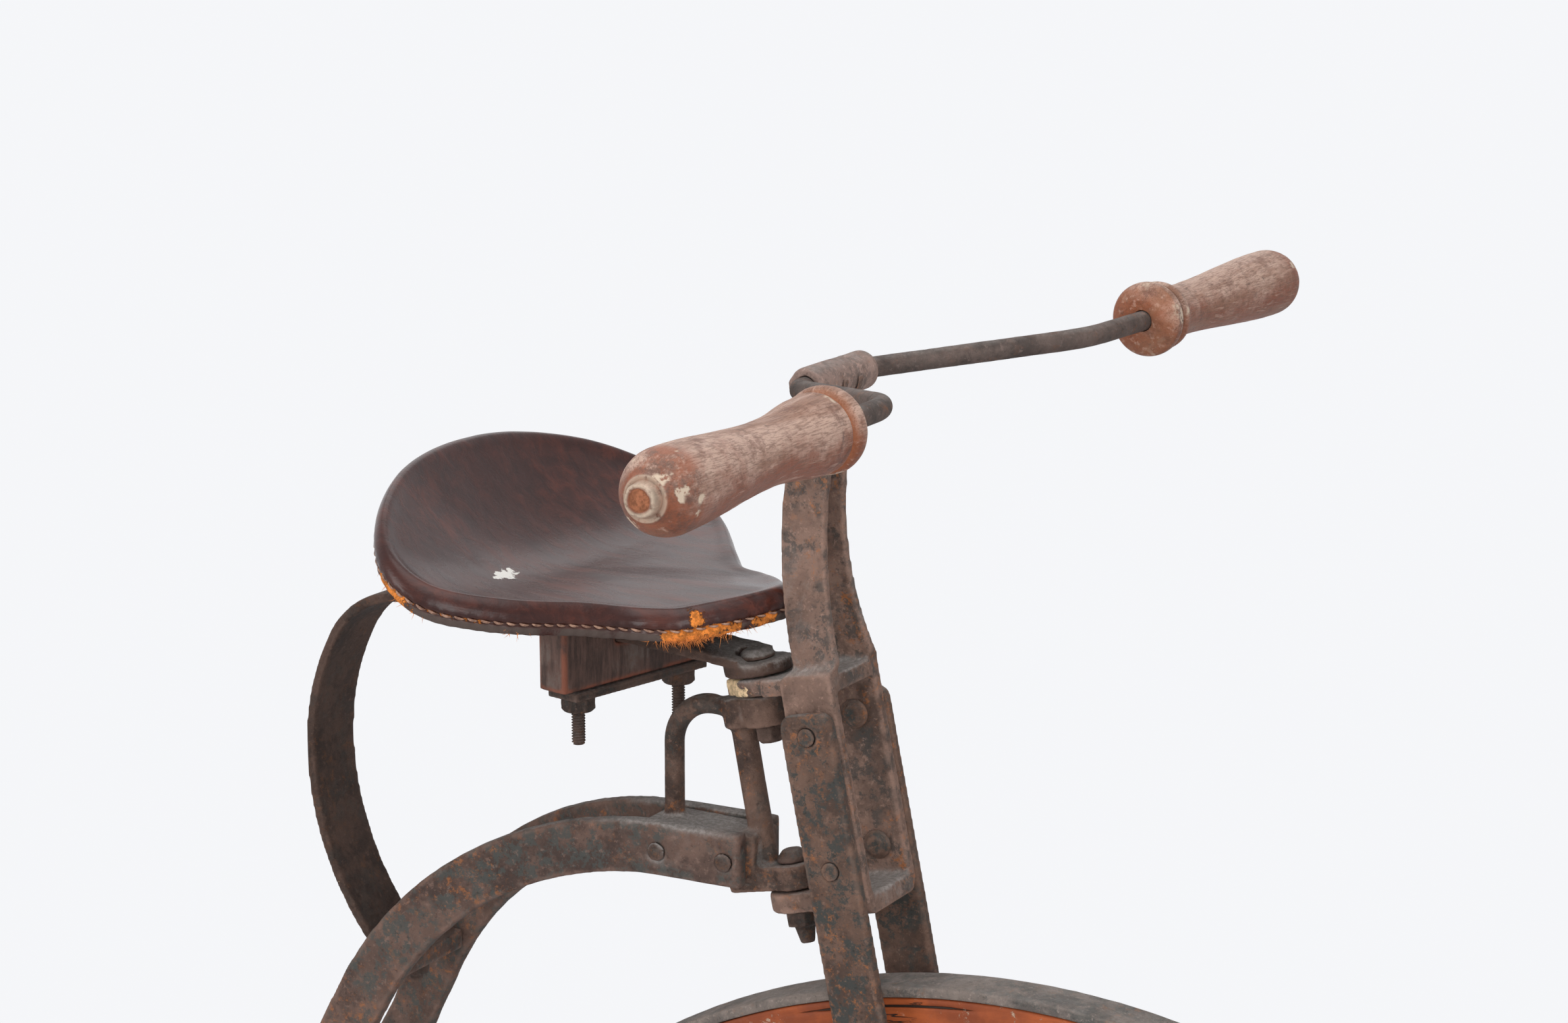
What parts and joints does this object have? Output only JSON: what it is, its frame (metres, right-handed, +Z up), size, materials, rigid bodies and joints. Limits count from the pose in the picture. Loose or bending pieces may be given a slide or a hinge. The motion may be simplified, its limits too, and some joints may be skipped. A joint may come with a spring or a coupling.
{
  "type": "antique front-pedalled bicycle with wooden wheels",
  "caption": "Rusty forged-iron front-pedalled bicycle with wooden iron-shod wheels, leather saddle on a C-shaped spring, turned wooden grips and a steering fork.",
  "frame": {"origin": "the rider's seat: the lowest point of the saddle's upper face, on the bike's middle plane", "axes": "+X forward, +Y to the rider's left, +Z up"},
  "size_m": [1.2899, 0.6086, 0.9879],
  "materials": {
    "rusty_iron": "dark brown rust with orange speckle and slate patches",
    "dark_iron": "dark oxidised iron with dust",
    "tyre_iron": "grey-brown worn iron",
    "worn_wood": "weathered turned hardwood, bare and stained",
    "painted_wood": "orange-brown paint, cracked and chipped",
    "leather": "glossy dark red-brown leather with a worn orange edge"
  },
  "bodies": {
    "frame": {"head_forging": "rusty_iron", "brace_rod": "rusty_iron", "backbone_bar_right": "rusty_iron", "backbone_bar_left": "rusty_iron", "backbone_rivets": "dark_iron", "spring_bridge": "rusty_iron", "saddle_spring": "rusty_iron", "spring_foot_bolt": "dark_iron", "upper_pivot_bolt": "dark_iron", "lower_pivot_pin": "dark_iron", "saddle_leather": "leather", "saddle_pan": "dark_iron", "saddle_clamp_block": "worn_wood", "saddle_clamp_plate": "dark_iron", "saddle_studs": "dark_iron", "rear_axle": "dark_iron"},
    "steering": {"yoke_strap": "rusty_iron", "yoke_crossbar": "rusty_iron", "stem_strap_right": "rusty_iron", "stem_strap_left": "rusty_iron", "fork_blade_right": "rusty_iron", "fork_blade_left": "rusty_iron", "fork_rivets": "dark_iron", "handlebar_sleeve": "rusty_iron", "handlebar_rod": "rusty_iron", "grip_right": "worn_wood", "grip_left": "worn_wood"},
    "front_wheel": {"front_tyre": "tyre_iron", "front_rim": "painted_wood", "front_spokes": "painted_wood", "front_hub": "painted_wood", "front_hub_bands": "dark_iron", "front_axle": "dark_iron", "crank_right": "rusty_iron", "crank_left": "rusty_iron", "pedal_pin_right": "dark_iron", "pedal_pin_left": "dark_iron"},
    "pedal_right": {"pedal_right": "worn_wood"},
    "pedal_left": {"pedal_left": "worn_wood"},
    "rear_wheel": {"rear_tyre": "tyre_iron", "rear_rim": "painted_wood", "rear_spokes": "painted_wood", "rear_hub": "painted_wood", "rear_hub_bands": "dark_iron"}
  },
  "joints": [
    {"name": "steering_turn", "type": "hinge", "parent": "frame", "child": "steering", "pos_m": [0.0958, 0, -0.071], "axis": [-0.1994, 0, 0.9799], "range_deg": [-40, 40]},
    {"name": "front_wheel_spin", "type": "hinge", "parent": "steering", "child": "front_wheel", "pos_m": [0.22062, 0, -0.51248], "axis": [0, 1, 0], "continuous": true},
    {"name": "pedal_right_spin", "type": "hinge", "parent": "front_wheel", "child": "pedal_right", "pos_m": [0.29059, 0, -0.59736], "axis": [0, 1, 0], "continuous": true},
    {"name": "pedal_left_spin", "type": "hinge", "parent": "front_wheel", "child": "pedal_left", "pos_m": [0.15065, 0, -0.4276], "axis": [0, 1, 0], "continuous": true},
    {"name": "rear_wheel_spin", "type": "hinge", "parent": "frame", "child": "rear_wheel", "pos_m": [-0.43738, 0, -0.58448], "axis": [0, 1, 0], "continuous": true}
  ]
}
